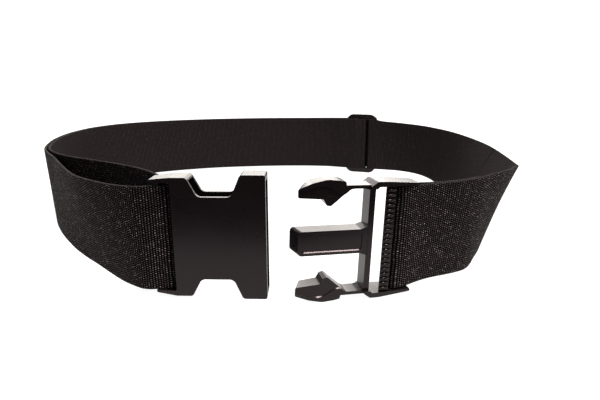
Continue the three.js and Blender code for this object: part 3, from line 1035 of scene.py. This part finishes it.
def webbing_stations(width):
    """Lines across the strap, in metres, with their place along it"""
    rows = webbing_rows(width)
    course = rounded_course(rows)
    leans = []
    for key in ("lean_x", "lean_y", "lift"):
        values = []
        for _, _, place in course:
            low = rows[math.floor(place)]
            high = rows[min(len(rows) - 1, math.ceil(place))]
            share = place - math.floor(place)
            values.append(getattr(low, key) * (1 - share) + getattr(high, key) * share)
        leans.append(evened(values, EVENING_PASSES))
    stations = []
    distance = 0.0
    for i, (x, y, _) in enumerate(course):
        a = course[max(0, i - 1)]
        b = course[min(len(course) - 1, i + 1)]
        lean_x, lean_y, lift = (values[i] for values in leans)
        rise = math.sqrt(width * width / 4 - lean_x * lean_x - lean_y * lean_y)
        across = Vector((lean_x, lean_y, rise)).normalized()
        along = Vector((b[0] - a[0], b[1] - a[1], 0)).normalized()
        outward = along.cross(across).normalized()
        middle = (Vector((x, y, lift + rise)) - FOOTPRINT_MIDDLE) * MM
        if stations:
            distance += (middle - stations[-1].middle).length
        stations.append(Station(middle, along, across, outward, distance))
    return stations


def nearest_station(stations, x, y):
    """The line across the strap that passes nearest to a place on the floor plan"""
    spot = Vector((x, y, 0)) - FOOTPRINT_MIDDLE
    return min(stations, key=lambda s: (s.middle.xy / MM - spot.xy).length)


class BELT_OT_webbing(Operator):
    """Bends the flat strap along its course and weaves its surface"""

    bl_idname = "belt.webbing"
    bl_label = "Webbing"

    def execute(self, context):
        settings = context.scene.belt_webbing
        stations = webbing_stations(settings.width / MM)
        count = len(stations) - 1
        bm = bmesh.new()
        strap = bm.loops.layers.uv.new("strap")
        turned = nearest_station(stations, *SHORTCUT[0][:2]).distance
        joined = nearest_station(stations, *SHORTCUT[-1][:2]).distance
        bmesh.ops.create_grid(bm, x_segments=count, y_segments=settings.rows_across, size=0.5)
        # The inner face takes the weave with weaker painted highlights
        outer = woven_finish("black_weave", settings, OUTER_CONTRAST)
        inner = woven_finish("black_weave_inside", settings, INNER_CONTRAST)
        selvage = selvage_finish(settings)
        # Front, rim and back of each stretch: the first layer, the second one where it cuts the
        # corner and shows its other face, and the second one against the first
        finishes = [outer, selvage, inner, outer, selvage, outer, inner, selvage, inner]
        rim, back, stretch = 1, 2, 3
        for face in bm.faces:
            place = stations[round((face.calc_center_median().x + 0.5) * count)].distance
            face.material_index = stretch * ((place > turned) + (place > joined))
            for loop in face.loops:
                station = stations[round((loop.vert.co.x + 0.5) * count)]
                loop[strap].uv = (station.distance, (loop.vert.co.y + 0.5) * settings.width)
        for vert in bm.verts:
            station = stations[round((vert.co.x + 0.5) * count)]
            vert.co = station.middle + station.across * vert.co.y * settings.width
        piece = new_piece("webbing_strap", bm, finishes)
        solid = piece.modifiers.new("thickness", "SOLIDIFY")
        solid.thickness = settings.thickness
        solid.offset = 0
        solid.material_offset_rim = rim
        solid.material_offset = back
        bevel = piece.modifiers.new("turned_edges", "BEVEL")
        bevel.limit_method = "ANGLE"
        bevel.angle_limit = TURNED_EDGE_ANGLE
        bevel.width = settings.thickness * TURNED_EDGE_SHARE
        bevel.segments = 2
        bevel.harden_normals = True
        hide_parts("webbing")
        return {"FINISHED"}


class BELT_OT_stitching(Operator):
    """Sews the strap's tail down behind the male half, with rows of thread"""

    bl_idname = "belt.stitching"
    bl_label = "Stitching"

    def execute(self, context):
        settings = context.scene.belt_webbing
        stations = webbing_stations(settings.width / MM)
        bm = bmesh.new()
        for x, y in SEAMS:
            self.seam(bm, nearest_station(stations, x, y), settings)
        new_piece("tail_stitches", bm, [thread_finish()])
        return {"FINISHED"}

    def seam(self, bm, station, settings):
        """One row of stitches across the strap"""
        stitches = int((settings.width - SEAM_MARGIN) / STITCH_PITCH)
        lift = settings.thickness / 2
        turn = Matrix((station.along, station.outward, station.across)).transposed().to_4x4()
        for k in range(stitches):
            height = (k - (stitches - 1) / 2) * STITCH_PITCH
            spot = station.middle + station.across * height + station.outward * lift
            place = Matrix.Translation(spot) @ turn @ Matrix.Diagonal((*STITCH_HALF, 1))
            bmesh.ops.create_icosphere(bm, subdivisions=2, radius=1.0, matrix=place)
        bmesh.ops.recalc_face_normals(bm, faces=bm.faces[:])


class BELT_OT_female_half(Operator):
    """Moulds the female half: a crowned hollow case with finger notches and a strap bar"""

    bl_idname = "belt.female_half"
    bl_label = "Female half"

    def execute(self, context):
        settings = context.scene.belt_buckle
        shell = plate(FEMALE_UPPER + mirrored(FEMALE_UPPER), 0, BUCKLE_DEPTH)
        case = carved(trimmed(shell, *FEMALE_ARM), block(*SOCKET))
        self.crowned(case, settings.crown)
        bar = upright_bar(FEMALE_BAR_X, BUCKLE_MIDDLE, STRAP_BAR_RADIUS, FEMALE_BAR_HALF)
        finish = moulded_finish("satin_plastic_female", settings)
        piece = moulded_piece(
            "female_half", [case, bar], FEMALE_POSE, finish, settings.edge_radius
        )
        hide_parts("female_buckle")
        return {"FINISHED"}

    def crowned(self, bm, crown):
        """Lets the depth fall away softly towards the top and low edges"""
        for z in CROWN_CUTS:
            for side in (-1, 1):
                bmesh.ops.bisect_plane(
                    bm,
                    geom=bm.verts[:] + bm.edges[:] + bm.faces[:],
                    plane_co=(0, 0, z * side * MM),
                    plane_no=(0, 0, 1),
                    dist=1e-7,
                )
        middle = BUCKLE_MIDDLE * MM
        for vert in bm.verts:
            fall = crown * (abs(vert.co.z) / (CROWN_HALF * MM)) ** CROWN_POWER
            vert.co.y = middle + (vert.co.y - middle) * (1 - fall / middle)


class BELT_OT_male_half(Operator):
    """Moulds the male half: frame, grip ridges, guide and two spring prongs"""

    bl_idname = "belt.male_half"
    bl_label = "Male half"

    def execute(self, context):
        settings = context.scene.belt_buckle
        half = MALE_BAR_HALF
        rails = (MALE_RAIL, mirrored(MALE_RAIL))
        parts = [
            *[trimmed(plate(rail, 0, BUCKLE_DEPTH), *MALE_ARM) for rail in rails],
            block(*CROSS_BAR, CORE_FRONT, CORE_BACK, -half, half),
            receding(block(*CLAMPING_BAR, -half, half), *CLAMPING_BAR_SLANT),
            upright_bar(MALE_BAR_X, BUCKLE_MIDDLE, STRAP_BAR_RADIUS, half),
            self.guide(settings),
            self.prong(PRONG, PRONG_SETBACK, 0),
            self.prong(mirrored(PRONG), mirrored(PRONG_SETBACK), LOWER_SETBACK_FALL),
            *self.ridges(settings),
        ]
        finish = moulded_finish("satin_plastic_male", settings, gloss=0.06)
        piece = moulded_piece(
            "male_half", parts, MALE_POSE, finish, settings.edge_radius
        )
        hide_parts("male_buckle")
        return {"FINISHED"}

    def guide(self, settings):
        """The middle guide, with a shallow panel in its front"""
        guide = receding(plate(MALE_GUIDE, CORE_FRONT, CORE_BACK), *GUIDE_SLANT)
        panel = plate(GUIDE_PANEL, CUTTER_FRONT, CORE_FRONT + settings.recess / MM)
        return carved(guide, flared(panel, PANEL_FALL))

    def prong(self, whole, setback, fall):
        """A spring prong, its nose and barb set back a little from its raised outer part"""
        prong = receding(plate(whole, CORE_FRONT, CORE_BACK), *PRONG_SLANT)
        return carved(prong, flared(plate(setback, CUTTER_FRONT, SETBACK_DEPTH), fall))

    def ridges(self, settings):
        """Rounded grip ridges across the front of the strap's clamping bar"""
        pitch = settings.ridge_pitch / MM
        count = int(2 * RIDGED_HALF / pitch)
        ridges = []
        for k in range(count):
            ridge = bmesh.new()
            bmesh.ops.create_uvsphere(ridge, u_segments=16, v_segments=9, radius=1.0)
            bmesh.ops.scale(ridge, verts=ridge.verts[:], vec=[half * MM for half in RIDGE_HALF])
            z = (k - (count - 1) / 2) * pitch
            place = (RIDGE_X * MM, RIDGE_Y * MM, z * MM)
            bmesh.ops.translate(ridge, verts=ridge.verts[:], vec=place)
            ridges.append(ridge)
        return ridges


class BELT_OT_slider(Operator):
    """Moulds the sliding adjuster: a rounded frame with two slots and a ridged middle bar"""

    bl_idname = "belt.slider"
    bl_label = "Slider"

    def execute(self, context):
        settings = context.scene.belt_buckle
        body = plate(SLIDER_FRAME, -SLIDER_HALF_DEPTH, SLIDER_HALF_DEPTH)
        for slot in (SLIDER_LEFT_SLOT, SLIDER_RIGHT_SLOT):
            body = carved(body, plate(slot, -3 * SLIDER_HALF_DEPTH, 3 * SLIDER_HALF_DEPTH))
        ridges = [
            block(x - SLIDER_RIDGE_HALF, x + SLIDER_RIDGE_HALF, *SLIDER_RIDGE_LIMITS)
            for x in SLIDER_RIDGES
        ]
        finish = moulded_finish("satin_plastic_slider", settings)
        edge_radius = 2 * settings.edge_radius
        piece = moulded_piece(
            "slider", [body, *ridges], SLIDER_POSE, finish, edge_radius
        )
        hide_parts("tri_glide")
        return {"FINISHED"}


class BELT_OT_stage(Operator):
    """Lays the pale floor, sets the soft lights and stands the camera"""

    bl_idname = "belt.stage"
    bl_label = "Stage"

    def execute(self, context):
        settings = context.scene.belt_stage
        scene = context.scene
        half = settings.floor_width / 2
        bm = bmesh.new()
        bmesh.ops.create_grid(bm, x_segments=1, y_segments=1, size=half)
        bmesh.ops.translate(bm, verts=bm.verts[:], vec=(0, half - settings.floor_front, 0))
        mesh = bpy.data.meshes.new("floor")
        bm.to_mesh(mesh)
        bm.free()
        floor = bpy.data.objects.new("floor", mesh)
        mesh.materials.append(floor_finish())
        scene.collection.objects.link(floor)
        scene.world = self.surround(settings)
        scene.view_settings.view_transform = "Standard"

        for lamp in LAMPS:
            self.light(lamp, settings)

        data = bpy.data.cameras.new("camera")
        data.lens = CAMERA_LENS
        data.sensor_width = CAMERA_SENSOR
        data.clip_start = 0.01
        camera = bpy.data.objects.new("camera", data)
        camera.location = CAMERA_PLACE
        camera.rotation_euler = (math.radians(CAMERA_TILT), 0, 0)
        scene.collection.objects.link(camera)
        scene.camera = camera
        return {"FINISHED"}

    def surround(self, settings):
        """A white backdrop for the camera, and a room that is dim on the camera's side"""
        surround = Finish(bpy.data.worlds.new("pale_surround"))
        direction = surround.node("ShaderNodeTexCoord").outputs["Generated"]
        split = surround.node("ShaderNodeSeparateXYZ", None, {"Vector": direction})
        room = surround.node(
            "ShaderNodeMapRange",
            {"interpolation_type": "SMOOTHSTEP"},
            {
                "Value": split.outputs["Y"],
                "From Min": ROOM_TURN[0],
                "From Max": ROOM_TURN[1],
                "To Min": settings.room_near,
                "To Max": settings.room_far,
            },
        )
        seen = surround.node("ShaderNodeLightPath").outputs["Is Camera Ray"]
        strength = surround.node(
            "ShaderNodeMix",
            None,
            {"Factor": seen, "A": room.outputs["Result"], "B": settings.backdrop},
        )
        background = surround.node(
            "ShaderNodeBackground",
            None,
            {"Color": (1.0, 1.0, 1.0, 1.0), "Strength": strength.outputs["Result"]},
        )
        surface = background.outputs["Background"]
        surround.node("ShaderNodeOutputWorld", None, {"Surface": surface})
        return surround.owner

    def light(self, lamp, settings):
        """A soft rectangle of light, turned towards its target"""
        data = bpy.data.lights.new(lamp.name, "AREA")
        data.shape = "RECTANGLE"
        data.size = lamp.width
        data.size_y = lamp.height
        data.energy = getattr(settings, lamp.power)
        data.color = settings.warmth
        light = bpy.data.objects.new(lamp.name, data)
        light.location = lamp.place
        aim = Vector(lamp.target) - Vector(lamp.place)
        light.rotation_euler = aim.to_track_quat("-Z", "Y").to_euler()
        bpy.context.scene.collection.objects.link(light)


class BELT_PT_panel(Panel):
    """Sizes, colours and steps of the belt"""

    bl_idname = "BELT_PT_panel"
    bl_label = "Webbing belt"
    bl_space_type = "VIEW_3D"
    bl_region_type = "UI"
    bl_category = "Belt"

    def draw(self, context):
        for settings in (
            context.scene.belt_webbing,
            context.scene.belt_buckle,
            context.scene.belt_stage,
        ):
            box = self.layout.box()
            for key in settings.__annotations__:
                box.prop(settings, key)
        for operator in STEPS:
            self.layout.operator(operator.bl_idname)


STEPS = (
    BELT_OT_female_half,
    BELT_OT_male_half,
    BELT_OT_slider,
    BELT_OT_webbing,
    BELT_OT_stitching,
    BELT_OT_stage,
)
CLASSES = (WebbingSettings, BuckleSettings, StageSettings, *STEPS, BELT_PT_panel)


def register():
    for item in CLASSES:
        bpy.utils.register_class(item)
    bpy.types.Scene.belt_webbing = PointerProperty(type=WebbingSettings)
    bpy.types.Scene.belt_buckle = PointerProperty(type=BuckleSettings)
    bpy.types.Scene.belt_stage = PointerProperty(type=StageSettings)


def unregister():
    del bpy.types.Scene.belt_stage
    del bpy.types.Scene.belt_buckle
    del bpy.types.Scene.belt_webbing
    for item in reversed(CLASSES):
        bpy.utils.unregister_class(item)


def main():
    register()
    bpy.ops.belt.female_half()
    bpy.ops.belt.male_half()
    bpy.ops.belt.slider()
    bpy.ops.belt.webbing()
    bpy.ops.belt.stitching()
    bpy.ops.belt.stage()


if __name__ == "__main__":
    main()
